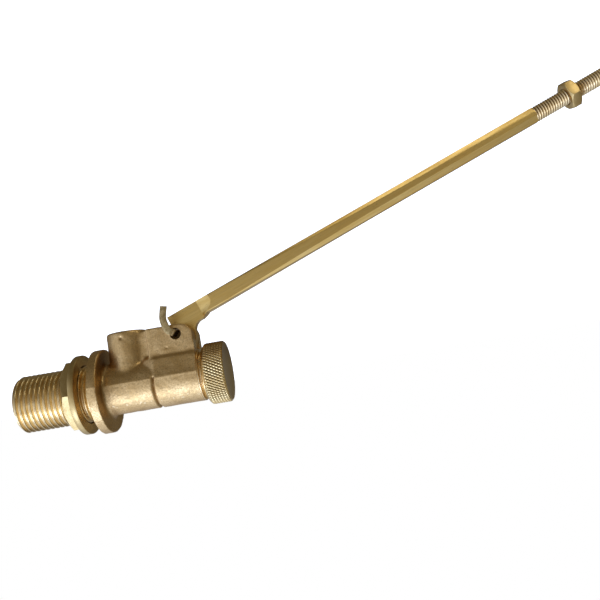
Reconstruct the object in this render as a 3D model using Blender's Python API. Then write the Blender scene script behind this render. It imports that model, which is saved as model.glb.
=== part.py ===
"""Portsmouth-pattern brass float valve, half-inch, with its float arm and no float.

Frame: +X runs along the inlet axis from the tank wall into the tank, +Z is up in use.
The origin is the centre of the body flange's tank-wall face. Lengths are in metres.
"""

import math

import bmesh
import bpy
from mathutils import Vector

MM = 0.001
GAP = 0.3 * MM                      # between pieces that touch on the real valve

# Body casting, along X
SHANK_R = 10.4775 * MM              # G1/2 male thread
SHANK_LENGTH = 30.0 * MM
FLANGE_R = 15.5 * MM
FLANGE_THICK = 3.3 * MM
BODY_R = 9.4 * MM
BODY_END_X = 38.2 * MM
NECK_R = 9.2 * MM                   # threaded neck that takes the end cap
NECK_END_X = 44.0 * MM
INLET_BORE_R = 6.3 * MM
SEAT_HOLE_R = 4.3 * MM
SHOULDER_X = -2.0 * MM              # where the inlet bore ends
CHAMBER_X = 2.5 * MM                # where the piston bore starts
PISTON_BORE_R = 6.6 * MM

# Outlet boss and the two ears below the body
BOSS_X = 12.3 * MM
BOSS_R = 7.5 * MM
BOSS_END_Z = -20.5 * MM
OUTLET_R = 4.5 * MM
EAR_START_X = 21.1 * MM
EAR_END_Z = -19.6 * MM
EAR_HALF = 7.0 * MM
EAR_CORNER_R = 4.6 * MM
WEB_HALF = 5.0 * MM
EAR_SLOT_HALF = 2.5 * MM
EAR_SLOT_X = 26.0 * MM
LEG_SLOT_X = (27.6 * MM, 37.9 * MM)
PIVOT_HOLE_R = 2.1 * MM

# Float arm, in its own frame: X along the arm, Z towards the valve's axis
PIVOT = Vector((32.07, 0.0, -16.14)) * MM
ARM_DROOP = math.radians(20.3)      # below level, with the valve fully open
ARM_DROP = 4.75 * MM                # the bar's centre line is this far below the pivot
BAR_FLATS = 5.8 * MM
BAR_CUTS = (1.35 * MM, 1.95 * MM)   # what its corners lose, at the lever and at the thread
CHEEK_HALF = 2.1 * MM
CHEEK_END = 11.0 * MM
BAR_START = 15.8 * MM
THREAD_START = 155.5 * MM
ARM_END = 195.5 * MM
ARM_THREAD_R = 2.95 * MM            # M6
LEG_TIP = Vector((-1.2, 17.2)) * MM
LEG_TIP_R = 2.3 * MM

# Piston and what it carries, with the valve open
PISTON_R = 6.3 * MM
PISTON_FRONT_X = 12.0 * MM
PISTON_END_X = 44.3 * MM
WASHER_X = (13.3 * MM, 16.1 * MM)
WASHER_R = 5.3 * MM
SPIGOT_X = (16.4 * MM, 20.8 * MM)
SPIGOT_R = 5.2 * MM
PISTON_CAP_END_X = 20.5 * MM
CAP_OPENING_R = 4.4 * MM

# Seat
SEAT_LIP_X = 6.75 * MM
SEAT_TUBE_R = 4.0 * MM
SEAT_TIP_R = 3.6 * MM
ORIFICE_R = 1.6 * MM
SEAT_FLANGE_X = (-5.8 * MM, -3.6 * MM)
SEAL_X = (-3.3 * MM, -2.3 * MM)

# End cap, backnut and float locknut
END_CAP_X = (40.4 * MM, 48.2 * MM)
END_CAP_R = 11.3 * MM
END_CAP_FLOOR_X = 46.2 * MM
BACKNUT_X = (-11.0 * MM, -7.4 * MM, -5.1 * MM)
BACKNUT_FLATS = 25.0 * MM
BACKNUT_FLANGE_R = 14.7 * MM
LOCKNUT_X = (168.4 * MM, 172.3 * MM)
LOCKNUT_FLATS = 10.0 * MM

# Split pin
PIN_WIDTH = 2.4 * MM
PIN_THICK = 1.1 * MM
PIN_OFFSET = 0.62 * MM              # each leg's centre from the pin's axis

ROUND_STEPS = 48
SMALL_STEPS = 32


def clear_scene():
    for obj in list(bpy.data.objects):
        bpy.data.objects.remove(obj, do_unlink=True)


def new_object(name, mesh_maker):
    """An object whose mesh is what mesh_maker draws into an empty bmesh."""
    shape = bmesh.new()
    mesh_maker(shape)
    bmesh.ops.remove_doubles(shape, verts=shape.verts, dist=1e-6)
    bmesh.ops.recalc_face_normals(shape, faces=shape.faces)
    mesh = bpy.data.meshes.new(name)
    shape.to_mesh(mesh)
    shape.free()
    mesh.shade_smooth()
    mesh.set_sharp_from_angle(angle=math.radians(35))
    obj = bpy.data.objects.new(name, mesh)
    bpy.context.scene.collection.objects.link(obj)
    return obj


def turned(name, profile, steps=ROUND_STEPS):
    """A solid of revolution about X. The profile is a closed loop of (x, radius)."""
    def draw(shape):
        corners = [shape.verts.new((x, 0.0, radius)) for x, radius in profile]
        loop = [shape.edges.new((a, b)) for a, b in zip(corners, corners[1:] + corners[:1])]
        bmesh.ops.spin(shape, geom=corners + loop, cent=(0, 0, 0), axis=(1, 0, 0),
                       angle=2 * math.pi, steps=steps, use_merge=True)
        on_axis = [edge for edge in shape.edges if not edge.link_faces]
        bmesh.ops.delete(shape, geom=on_axis, context="EDGES")
        bmesh.ops.dissolve_degenerate(shape, dist=1e-7, edges=shape.edges)
    return new_object(name, draw)


def prism(name, outline, low, high):
    """An outline of (x, z) points, extruded along Y from low to high."""
    def draw(shape):
        face = shape.faces.new([shape.verts.new((x, low, z)) for x, z in outline])
        extruded = bmesh.ops.extrude_face_region(shape, geom=[face])["geom"]
        moved = [item for item in extruded if isinstance(item, bmesh.types.BMVert)]
        bmesh.ops.translate(shape, verts=moved, vec=(0, high - low, 0))
    return new_object(name, draw)


def lofted(name, rings):
    """Rings of the same number of points, joined in order and closed at both ends."""
    def draw(shape):
        drawn = [[shape.verts.new(point) for point in ring] for ring in rings]
        for first, second in zip(drawn, drawn[1:]):
            for i in range(len(first)):
                j = (i + 1) % len(first)
                shape.faces.new((first[i], first[j], second[j], second[i]))
        shape.faces.new(drawn[0])
        shape.faces.new(drawn[-1])
    return new_object(name, draw)


def arc(centre, radius, start, end, count):
    """Points on an arc from start to end, in degrees."""
    angles = [math.radians(start + (end - start) * i / count) for i in range(count + 1)]
    return [(centre[0] + radius * math.cos(a), centre[1] + radius * math.sin(a)) for a in angles]


def rod(name, base, radius, axis, length, steps=SMALL_STEPS):
    """A plain cylinder from base along axis, for a hole or a boss."""
    rod_obj = turned(name, [(0, 0), (0, radius), (length, radius), (length, 0)], steps)
    rod_obj.location = base
    rod_obj.rotation_mode = "QUATERNION"
    rod_obj.rotation_quaternion = Vector((1, 0, 0)).rotation_difference(Vector(axis))
    return rod_obj


def combine(target, helper, operation):
    """Adds a Boolean to the target and hides the helper object it uses."""
    modifier = target.modifiers.new(helper.name, "BOOLEAN")
    modifier.object = helper
    modifier.operation = operation
    modifier.solver = "EXACT"
    helper.hide_render = True
    helper.display_type = "WIRE"


def finish(obj, colour, metallic, roughness):
    """Gives the object a material of its own."""
    material = bpy.data.materials.new(obj.name)
    material.use_nodes = True
    shader = material.node_tree.nodes["Principled BSDF"]
    shader.inputs["Base Color"].default_value = (*colour, 1.0)
    shader.inputs["Metallic"].default_value = metallic
    shader.inputs["Roughness"].default_value = roughness
    obj.data.materials.append(material)
    return obj


def cast_brass(obj):
    return finish(obj, (0.60, 0.45, 0.26), 1.0, 0.5)


def turned_brass(obj):
    return finish(obj, (0.72, 0.50, 0.22), 1.0, 0.3)


def hexagon(flats, x, turn):
    """A hexagon's corners in a plane across X, the first at turn degrees from +Z."""
    radius = flats / math.sqrt(3)
    angles = [math.radians(turn + 60 * i) for i in range(6)]
    return [(x, radius * math.sin(angle), radius * math.cos(angle)) for angle in angles]


def make_body():
    """The casting: shank, flange, barrel, outlet boss, ears, with all its bores."""
    chamfer = 1.0 * MM
    groove_x = BODY_END_X + 0.4 * MM
    body = turned("valve_body", [
        (-SHANK_LENGTH, 0), (-SHANK_LENGTH, SHANK_R - chamfer),
        (-SHANK_LENGTH + chamfer, SHANK_R), (0, SHANK_R),
        (0, FLANGE_R - 0.4 * MM), (0.4 * MM, FLANGE_R),
        (FLANGE_THICK - 0.8 * MM, FLANGE_R), (FLANGE_THICK, FLANGE_R - 0.8 * MM),
        (FLANGE_THICK, BODY_R + 1.2 * MM), (FLANGE_THICK + 1.2 * MM, BODY_R),
        (groove_x, BODY_R), (groove_x, NECK_R - 0.6 * MM),
        (groove_x + 0.6 * MM, NECK_R - 0.6 * MM), (groove_x + 0.6 * MM, NECK_R),
        (NECK_END_X - 0.6 * MM, NECK_R), (NECK_END_X, NECK_R - 0.6 * MM), (NECK_END_X, 0),
    ])
    combine(body, rod("outlet_boss", (BOSS_X, 0, BOSS_END_Z), BOSS_R, (0, 0, 1),
                      -BOSS_END_Z), "UNION")
    corner = (BODY_END_X - EAR_CORNER_R, EAR_END_Z + EAR_CORNER_R)
    ears = [(EAR_START_X, -2 * MM), (EAR_START_X, EAR_END_Z)]
    ears += arc(corner, EAR_CORNER_R, -90, 0, 8) + [(BODY_END_X, -2 * MM)]
    combine(body, prism("ears", ears, -EAR_HALF, EAR_HALF), "UNION")
    web = [(BOSS_X, -2 * MM), (BOSS_X, EAR_END_Z), (EAR_SLOT_X - MM, EAR_END_Z),
           (EAR_SLOT_X - MM, -2 * MM)]
    combine(body, prism("web", web, -WEB_HALF, WEB_HALF), "UNION")
    bores = turned("bores", [
        (-SHANK_LENGTH - MM, 0), (-SHANK_LENGTH - MM, INLET_BORE_R), (SHOULDER_X, INLET_BORE_R),
        (SHOULDER_X, SEAT_HOLE_R), (CHAMBER_X, SEAT_HOLE_R), (CHAMBER_X, PISTON_BORE_R),
        (NECK_END_X + MM, PISTON_BORE_R), (NECK_END_X + MM, 0),
    ])
    combine(body, bores, "DIFFERENCE")
    combine(body, rod("outlet_bore", (BOSS_X, 0, BOSS_END_Z - MM), OUTLET_R, (0, 0, 1),
                      -BOSS_END_Z - MM), "DIFFERENCE")
    ear_slot = [(EAR_SLOT_X, -BODY_R - GAP), (EAR_SLOT_X, EAR_END_Z - MM),
                (BODY_END_X + MM, EAR_END_Z - MM), (BODY_END_X + MM, -BODY_R - GAP)]
    combine(body, prism("ear_slot", ear_slot, -EAR_SLOT_HALF, EAR_SLOT_HALF), "DIFFERENCE")
    low_x, high_x = LEG_SLOT_X
    leg_slot = [(low_x, -2 * MM), (low_x, -BODY_R - MM), (high_x, -BODY_R - MM), (high_x, -2 * MM)]
    combine(body, prism("leg_slot", leg_slot, -EAR_SLOT_HALF, EAR_SLOT_HALF), "DIFFERENCE")
    combine(body, rod("pivot_hole", PIVOT + Vector((0, -EAR_HALF - MM, 0)), PIVOT_HOLE_R,
                      (0, 1, 0), 2 * EAR_HALF + 2 * MM), "DIFFERENCE")
    return cast_brass(body)


def make_backnut():
    """The flanged hexagon nut on the shank, with a corner towards +Y."""
    start, shoulder, end = BACKNUT_X
    overlap = 0.2 * MM
    nut = lofted("backnut", [hexagon(BACKNUT_FLATS, x, turn=30) for x in (start, shoulder + overlap)])
    corner_r = BACKNUT_FLATS / math.sqrt(3)
    chamfer = turned("backnut_chamfer", [
        (start - overlap, 0), (start - overlap, BACKNUT_FLATS / 2),
        (start + MM, corner_r + overlap), (end + MM, corner_r + overlap), (end + MM, 0),
    ])
    combine(nut, chamfer, "INTERSECT")
    flange = turned("backnut_flange", [
        (shoulder, 0), (shoulder, BACKNUT_FLANGE_R - 0.3 * MM),
        (shoulder + 0.3 * MM, BACKNUT_FLANGE_R), (end - 0.3 * MM, BACKNUT_FLANGE_R),
        (end, BACKNUT_FLANGE_R - 0.3 * MM), (end, 0),
    ])
    combine(nut, flange, "UNION")
    combine(nut, rod("backnut_bore", (start - MM, 0, 0), SHANK_R + GAP, (1, 0, 0),
                     end - start + 2 * MM, ROUND_STEPS), "DIFFERENCE")
    return turned_brass(nut)


def make_seat():
    """The nozzle that the piston's washer shuts. Its flange is held from the inlet side."""
    seat = turned("inlet_seat", [
        (SEAT_FLANGE_X[0], 3.2 * MM), (SEAT_FLANGE_X[0], INLET_BORE_R - GAP),
        (SEAT_FLANGE_X[1], INLET_BORE_R - GAP), (SEAT_FLANGE_X[1], SEAT_TUBE_R),
        (SEAT_LIP_X - 2 * MM, SEAT_TUBE_R), (SEAT_LIP_X - 2 * MM, SEAT_TIP_R),
        (SEAT_LIP_X - 0.5 * MM, SEAT_TIP_R), (SEAT_LIP_X, ORIFICE_R + 0.9 * MM),
        (SEAT_LIP_X, ORIFICE_R), (SEAT_LIP_X - 4 * MM, ORIFICE_R), (CHAMBER_X - 2 * MM, 3.2 * MM),
    ], SMALL_STEPS)
    return finish(seat, (0.85, 0.84, 0.80), 0.0, 0.4)


def make_seat_washer():
    ring = turned("seat_washer", [
        (SEAL_X[0], SEAT_TUBE_R + GAP), (SEAL_X[0], INLET_BORE_R - GAP),
        (SEAL_X[1], INLET_BORE_R - GAP), (SEAL_X[1], SEAT_TUBE_R + GAP),
    ], SMALL_STEPS)
    return finish(ring, (0.03, 0.03, 0.03), 0.0, 0.7)


def leg_tip_at_rest():
    """The centre of the arm's rounded leg tip, as (x, z) in the valve's frame."""
    cos, sin = math.cos(ARM_DROOP), math.sin(ARM_DROOP)
    return (PIVOT.x + LEG_TIP.x * cos + LEG_TIP.y * sin,
            PIVOT.z - LEG_TIP.x * sin + LEG_TIP.y * cos)


def make_piston():
    """The piston, slotted from below for the arm's leg."""
    piston = turned("piston", [
        (SPIGOT_X[0], 0), (SPIGOT_X[0], SPIGOT_R - 0.4 * MM), (SPIGOT_X[0] + 0.4 * MM, SPIGOT_R),
        (SPIGOT_X[1], SPIGOT_R), (SPIGOT_X[1], PISTON_R),
        (PISTON_END_X - 0.8 * MM, PISTON_R), (PISTON_END_X, PISTON_R - 0.8 * MM), (PISTON_END_X, 0),
    ])
    tip_x = leg_tip_at_rest()[0]
    straight, top, bottom = 1.0 * MM, 3.75 * MM, -PISTON_R - 0.3 * MM
    half = LEG_TIP_R + 0.35 * MM
    slot = [(tip_x - half, top), (tip_x - half, straight), (tip_x - 5.8 * MM, bottom),
            (tip_x + 3.7 * MM, bottom), (tip_x + half, straight), (tip_x + half, top)]
    slot_half = CHEEK_HALF + 0.35 * MM
    combine(piston, prism("piston_slot", slot, -slot_half, slot_half), "DIFFERENCE")
    return turned_brass(piston)


def make_piston_cap():
    """The ring that screws on the piston's spigot and holds its washer."""
    lip = WASHER_X[0] - GAP
    inner = WASHER_R + GAP
    cap = turned("piston_cap", [
        (PISTON_FRONT_X, CAP_OPENING_R), (PISTON_FRONT_X, PISTON_R - 0.5 * MM),
        (PISTON_FRONT_X + 0.5 * MM, PISTON_R), (PISTON_CAP_END_X, PISTON_R),
        (PISTON_CAP_END_X, inner), (lip, inner), (lip, CAP_OPENING_R),
    ])
    return turned_brass(cap)


def make_piston_washer():
    disc = turned("piston_washer", [
        (WASHER_X[0], 0), (WASHER_X[0], WASHER_R), (WASHER_X[1], WASHER_R), (WASHER_X[1], 0),
    ], SMALL_STEPS)
    return finish(disc, (0.04, 0.04, 0.04), 0.0, 0.65)


def make_end_cap():
    inner = NECK_R + GAP
    start, end = END_CAP_X
    cap = turned("end_cap", [
        (start, inner), (start, END_CAP_R - 0.7 * MM), (start + 0.7 * MM, END_CAP_R),
        (end - 0.4 * MM, END_CAP_R), (end, END_CAP_R - 0.4 * MM), (end, 0),
        (END_CAP_FLOOR_X, 0), (END_CAP_FLOOR_X, inner),
    ])
    return turned_brass(cap)


def cheek_outline():
    """The flat end of the arm with its leg, in the arm's frame."""
    low = -ARM_DROP - 2.95 * MM
    neck = (9.9 * MM, 3.1 * MM)
    outline = [(-0.8 * MM, low), (CHEEK_END + 2 * MM, low)]
    outline += [(CHEEK_END + 2 * MM, -ARM_DROP + 3.0 * MM)]
    outline += arc(neck, 3.9 * MM, -80, -180, 8)
    outline += [(2.9 * MM, 7.6 * MM), (LEG_TIP.x + 2.5 * MM, 13.5 * MM)]
    outline += arc(LEG_TIP, LEG_TIP_R, 0, 180, 8)
    outline += [(LEG_TIP.x - 2.4 * MM, 13.5 * MM), (-3.7 * MM, 7.6 * MM)]
    outline += arc((0, 0), 4.2 * MM, 165, 240, 5)
    return outline + [(-0.8 * MM, -4.4 * MM)]


def bar_section(x, half, cut, squash=1.0):
    """The bar's eight corners in a plane across X: a square with its corners cut off."""
    flat = half - cut
    corners = [(flat, half), (half, flat), (half, -flat), (flat, -half),
               (-flat, -half), (-half, -flat), (-half, flat), (-flat, half)]
    return [(x, squash * y, z - ARM_DROP) for y, z in corners]


def make_arm():
    """The float arm: an eight-sided bar, flattened at the pivot and threaded at the float end."""
    arm = prism("lever_arm", cheek_outline(), -CHEEK_HALF, CHEEK_HALF)
    half = BAR_FLATS / 2
    squash = (CHEEK_HALF - 0.05 * MM) / half
    bar = lofted("arm_bar", [
        bar_section(CHEEK_END - MM, half, BAR_CUTS[0], squash),
        bar_section(BAR_START, half, BAR_CUTS[0]),
        bar_section(THREAD_START - 0.5 * MM, half, BAR_CUTS[1]),
        bar_section(THREAD_START, 0.92 * half, 0.92 * BAR_CUTS[1]),
    ])
    combine(arm, bar, "UNION")
    thread = turned("arm_thread", [
        (THREAD_START - MM, 0), (THREAD_START - MM, ARM_THREAD_R - 0.4 * MM),
        (THREAD_START + 0.2 * MM, ARM_THREAD_R), (ARM_END - 0.8 * MM, ARM_THREAD_R),
        (ARM_END, ARM_THREAD_R - 0.8 * MM), (ARM_END, 0),
    ], SMALL_STEPS)
    thread.location = (0, 0, -ARM_DROP)
    combine(arm, thread, "UNION")
    combine(arm, rod("arm_pivot_hole", (0, -CHEEK_HALF - MM, 0), PIVOT_HOLE_R, (0, 1, 0),
                     2 * CHEEK_HALF + 2 * MM), "DIFFERENCE")
    return turned_brass(arm)


def make_locknut():
    """The hexagon nut that locks the float, part of the way along the arm's thread."""
    start, end = LOCKNUT_X
    nut = lofted("float_locknut", [hexagon(LOCKNUT_FLATS, x, turn=12) for x in LOCKNUT_X])
    corner_r = LOCKNUT_FLATS / math.sqrt(3) + 0.1 * MM
    round_r = LOCKNUT_FLATS / 2 - 0.1 * MM
    chamfer = turned("locknut_chamfer", [
        (start, 0), (start, round_r), (start + 0.6 * MM, corner_r),
        (end - 0.6 * MM, corner_r), (end, round_r), (end, 0),
    ], SMALL_STEPS)
    combine(nut, chamfer, "INTERSECT")
    bore = rod("locknut_bore", (start - MM, 0, 0), ARM_THREAD_R + GAP, (1, 0, 0),
               end - start + 2 * MM)
    combine(nut, bore, "DIFFERENCE")
    for piece in (nut, chamfer, bore):
        piece.location.z = -ARM_DROP
    return turned_brass(nut)


def smooth_path(points, count):
    """Points on a Catmull-Rom curve through the given ones, count for each stretch."""
    padded = [2 * points[0] - points[1]] + points + [2 * points[-1] - points[-2]]
    path = []
    for a, b, c, d in zip(padded, padded[1:], padded[2:], padded[3:]):
        for i in range(count):
            t = i / count
            path.append(0.5 * (2 * b + (c - a) * t + (2 * a - 5 * b + 4 * c - d) * t ** 2
                               + (3 * b - a - 3 * c + d) * t ** 3))
    return path + [points[-1]]


def swept(name, path, across, width, thick):
    """A flat strip with trimmed corners along a path, its width kept near across."""
    trim = 0.28 * thick
    corners = [(width / 2 - trim, thick / 2), (width / 2, thick / 2 - trim)]
    corners += [(x, -y) for x, y in reversed(corners)]
    corners += [(-x, -y) for x, y in corners]
    rings = []
    for i, point in enumerate(path):
        along = (path[min(i + 1, len(path) - 1)] - path[max(i - 1, 0)]).normalized()
        side = (across - along * across.dot(along)).normalized()
        normal = along.cross(side)
        rings.append([point + side * x + normal * y for x, y in corners])
    return lofted(name, rings)


def make_split_pin():
    """A half-round wire bent double: an eye behind the far ear, one short leg and one
    long leg that is bent over in front of the near ear."""
    split = Vector((-0.76, 0.0, -0.65))             # from the short leg to the long one
    across = Vector((0, 1, 0)).cross(split)

    def legs(y, offset):
        return PIVOT + Vector((0, y * MM, 0)) + split * offset * MM

    half_eye = [(-7.6, 0.62), (-8.4, 1.0), (-9.3, 2.0), (-10.7, 2.6), (-12.2, 2.1)]
    eye = [(y, -u) for y, u in half_eye] + [(-13.0, 0.0)]
    eye += list(reversed(half_eye))
    bent = [(-1.1, 7.6, -0.7), (-2.5, 8.3, -0.95), (-3.4, 8.6, -1.7), (-3.65, 8.7, -3.2)]
    bent += [(-3.4, 8.6, -6.4), (-2.4, 8.3, -10.4)]
    offset = PIN_OFFSET / MM
    points = [legs(3.4, -offset), legs(0, -offset)]
    points += [legs(y, u) for y, u in eye]
    points += [legs(0, offset), legs(6.2, offset)]
    points += [PIVOT + Vector(point) * MM for point in bent]
    pin = swept("pivot_split_pin", smooth_path(points, 3), across, PIN_WIDTH, PIN_THICK)
    return turned_brass(pin)


def main():
    clear_scene()
    make_body()
    make_backnut()
    make_seat()
    make_seat_washer()
    make_piston()
    make_piston_cap()
    make_piston_washer()
    make_end_cap()
    make_split_pin()
    pivot = bpy.data.objects.new("arm_pivot", None)
    bpy.context.scene.collection.objects.link(pivot)
    before = set(bpy.data.objects)
    make_arm()
    make_locknut()
    for obj in set(bpy.data.objects) - before:
        obj.parent = pivot
    pivot.location = PIVOT
    pivot.rotation_euler = (0, ARM_DROOP, 0)


main()
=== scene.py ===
"""The finished look of a half-inch brass float valve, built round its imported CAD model.

Frame: +X runs from the tank wall along the valve, +Z is up in use. Lengths are in
millimetres until a mesh is made, when MM turns them into metres.
"""

import math

import bmesh
import bpy
import numpy as np
from mathutils import Matrix, Vector, noise


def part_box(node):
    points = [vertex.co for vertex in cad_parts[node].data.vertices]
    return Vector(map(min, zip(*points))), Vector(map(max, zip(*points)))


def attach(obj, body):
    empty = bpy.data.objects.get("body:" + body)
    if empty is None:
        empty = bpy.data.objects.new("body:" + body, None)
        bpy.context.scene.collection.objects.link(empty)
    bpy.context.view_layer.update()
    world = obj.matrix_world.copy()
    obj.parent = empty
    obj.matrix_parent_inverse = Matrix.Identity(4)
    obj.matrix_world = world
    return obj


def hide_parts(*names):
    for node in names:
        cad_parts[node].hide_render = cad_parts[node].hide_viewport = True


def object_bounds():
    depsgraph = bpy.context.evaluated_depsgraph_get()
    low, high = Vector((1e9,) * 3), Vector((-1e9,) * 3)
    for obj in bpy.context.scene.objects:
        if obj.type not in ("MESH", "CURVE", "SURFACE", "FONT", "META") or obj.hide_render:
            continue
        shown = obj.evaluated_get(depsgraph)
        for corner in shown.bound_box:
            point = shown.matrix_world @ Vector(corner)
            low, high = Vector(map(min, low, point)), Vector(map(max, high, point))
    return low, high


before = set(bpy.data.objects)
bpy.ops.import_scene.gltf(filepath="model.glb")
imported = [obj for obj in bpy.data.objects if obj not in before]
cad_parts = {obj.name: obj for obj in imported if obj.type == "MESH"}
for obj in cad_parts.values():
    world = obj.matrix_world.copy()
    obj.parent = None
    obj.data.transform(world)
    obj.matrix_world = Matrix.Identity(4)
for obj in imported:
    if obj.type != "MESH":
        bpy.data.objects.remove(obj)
cad_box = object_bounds()

MM = 0.001


def box_mm(node):
    """A CAD node's lowest and highest corner, in millimetres."""
    return [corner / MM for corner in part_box(node)]


# Valve body, as the CAD has it
BODY_LOW, BODY_HIGH = box_mm("valve_body")
SHANK_X, SHANK_R = BODY_LOW.x, 10.4775
FLANGE_R, FLANGE_THICK = BODY_HIGH.z, 3.3
BARREL_R, BARREL_END = 9.4, 38.2
NECK_R, NECK_GROOVE_R, NECK_END = 9.2, 8.5, BODY_HIGH.x
NECK_PITCH, NECK_DEPTH = 1.0, 0.6
INLET_BORE_R, SEAT_HOLE_R, SHOULDER_X = 6.3, 4.3, -2.0
CHAMBER_X, PISTON_BORE_R = 2.5, 6.6
BOSS_X, BOSS_R, BOSS_END, OUTLET_R = 12.3, 7.5, BODY_LOW.z, 4.5
EAR_START, EAR_END, EAR_HALF, EAR_CORNER_R = 21.1, -19.6, 7.0, 4.6
WEB_HALF = 5.0
SLOT_HALF, SLOT_X, LEG_SLOT_X = 2.5, 26.0, (27.6, 37.9)
PIVOT, PIVOT_HOLE_R = Vector((32.07, 0.0, -16.14)), 2.1
PIPE_PITCH, PIPE_DEPTH, PIPE_FLAT = 1.814, 1.0, 0.16    # G1/2, 14 threads an inch
ROOT_R = 1.3                                # the fillet between flange and barrel

# Casting marks
VOXEL = 0.3
PARTING_Z = -1.5
PARTING_HEIGHT, PARTING_WIDTH = 0.32, 1.3
SEAM_X, SEAM_DEPTH, SEAM_WIDTH = 22.0, 0.7, 0.42
PITS = [((12.0, 7.4, -17.9), 0.55, 0.5), ((28.2, 7.0, -11.6), 0.4, 0.2)]   # centre, radius, depth

# Float arm, in its bar's own frame: X along the bar, Z towards the valve's axis
ARM_DROOP = math.radians(20.3)
ARM_DROP = 4.75
BAR_FLATS, THREAD_START, ARM_END = 5.8, 155.5, 195.5
# What the bar's corners lose along it, from nearly square to eight-sided
BAR_CUTS = ((8.5, 0.28), (24.0, 0.3), (42.0, 0.8), (58.0, 1.2), (80.0, 1.6), (110.0, 1.9),
            (155.9, 2.05))
BAR_TURN = 1.5                              # degrees about the bar
CHEEK_HALF, CHEEK_END = 1.85, 11.5
# How far past CHEEK_END each cheek's slope runs, at heights across the bar
CHEEK_SLOPE = ((-12, 4.9), (-2.7, 4.9), (-0.6, 5.3), (1.0, 4.4), (2.2, 2.6), (2.9, 1.0), (30, 1.0))
LEG_TIP, LEG_TIP_R = Vector((-1.2, 17.2 + ARM_DROP)), 2.3
ARM_THREAD_R, ARM_PITCH, ARM_DEPTH = 2.95, 1.0, 0.5

# Turned pieces
BACKNUT_LOW, BACKNUT_HIGH = box_mm("backnut")
BACKNUT_FLATS, BACKNUT_SHOULDER, BACKNUT_R = 24.5, -7.4, 14.7
LOCKNUT_X, LOCKNUT_FLATS, LOCKNUT_TURN = (168.4, 172.3), 9.8, 12.0
CAP_LOW, CAP_HIGH = box_mm("end_cap")
CAP_R, CAP_FLOOR, CAP_INNER = 11.3, 46.2, 9.5
KNURL_LINES, KNURL_DEPTH, KNURL_STEP = 64, 0.42, 1.95

# Split pin: its wire, which way its legs part, and its paths about the pivot
PIN_WIDTH, PIN_THICK, PIN_OFFSET = 2.65, 1.1, 0.62
PIN_SPLIT = Vector((-0.76, 0.0, -0.65))
HALF_EYE = [(-7.6, 0.62), (-8.4, 1.0), (-9.3, 2.0), (-10.7, 2.6), (-12.2, 2.1)]
EYE_END = -13.0
BENT_LEG = [(-1.1, 7.6, -0.8), (-1.9, 8.3, -1.3), (-2.4, 8.6, -2.3), (-2.85, 8.7, -3.8),
            (-3.2, 8.65, -5.5), (-3.05, 8.5, -7.4), (-2.4, 8.3, -10.4)]


# ---------------------------------------------------------------- meshes

def new_object(name, shape, materials):
    """An object from a bmesh, which is freed."""
    bmesh.ops.remove_doubles(shape, verts=shape.verts, dist=1e-4)
    bmesh.ops.dissolve_degenerate(shape, dist=1e-5, edges=shape.edges)
    bmesh.ops.recalc_face_normals(shape, faces=shape.faces)
    mesh = bpy.data.meshes.new(name)
    shape.to_mesh(mesh)
    shape.free()
    for material in materials:
        mesh.materials.append(material)
    obj = bpy.data.objects.new(name, mesh)
    bpy.context.scene.collection.objects.link(obj)
    return obj


def grid_mesh(rows, inner=(), shift=0):
    """A closed solid about X from rows of (x, radius), one for each column round it.

    The rows run along the outside. inner holds plain (x, radius) rings that lead back
    from the last row to the first. shift is how many rows on a helix meets itself.
    """
    count, columns = rows.shape[:2]
    rings = np.array([[ring] * columns for ring in inner]).reshape(-1, columns, 2)
    every = np.concatenate([rows, rings])
    angle = np.arange(columns) * 2 * math.pi / columns
    points = np.stack([every[..., 0], every[..., 1] * np.sin(angle),
                       every[..., 1] * np.cos(angle)], axis=-1)
    row, column = np.meshgrid(np.arange(len(every)), np.arange(columns), indexing="ij")
    over = (row + 1) % len(every)

    def index(r, c):
        turned = np.where((c == columns) & (r < count), np.minimum(r + shift, count - 1), r)
        return turned * columns + c % columns

    quads = np.stack([index(row, column), index(row, column + 1),
                      index(over, column + 1), index(over, column)], axis=-1)
    mesh = bpy.data.meshes.new("grid")
    mesh.from_pydata(points.reshape(-1, 3).tolist(), [], quads.reshape(-1, 4).tolist())
    shape = bmesh.new()
    shape.from_mesh(mesh)
    bpy.data.meshes.remove(mesh)
    return shape


def turned(profile, columns=96):
    """A solid of revolution about X from a closed loop of (x, radius)."""
    rows = np.array([[point] * columns for point in profile])
    return grid_mesh(rows)


def threaded(span, crest, depth, pitch, inner, chamfer, columns, samples, flat=0.24):
    """A screw thread about X over span, closed by the inner rings.

    flat is how much of the pitch its crest stays level for.
    """
    start, end = span
    count = math.ceil((end - start) / pitch) * samples + 2 * samples
    along = np.arange(count + 1)[:, None] / samples
    lead = np.arange(columns)[None, :] / columns
    x = np.clip(start + pitch * (along + lead - 1), start, end)
    phase = ((x - start) / pitch - lead) % 1.0
    flank = np.clip((np.abs(2 * phase - 1) - flat) / (0.96 - 2 * flat), 0, 1)
    radius = crest - depth * (0.55 * flank + 0.45 * flank ** 2 * (3 - 2 * flank))
    edge = crest - chamfer + np.minimum(x - start, end - x)
    return grid_mesh(np.stack([x, np.minimum(radius, edge)], axis=-1), inner, samples)


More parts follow.
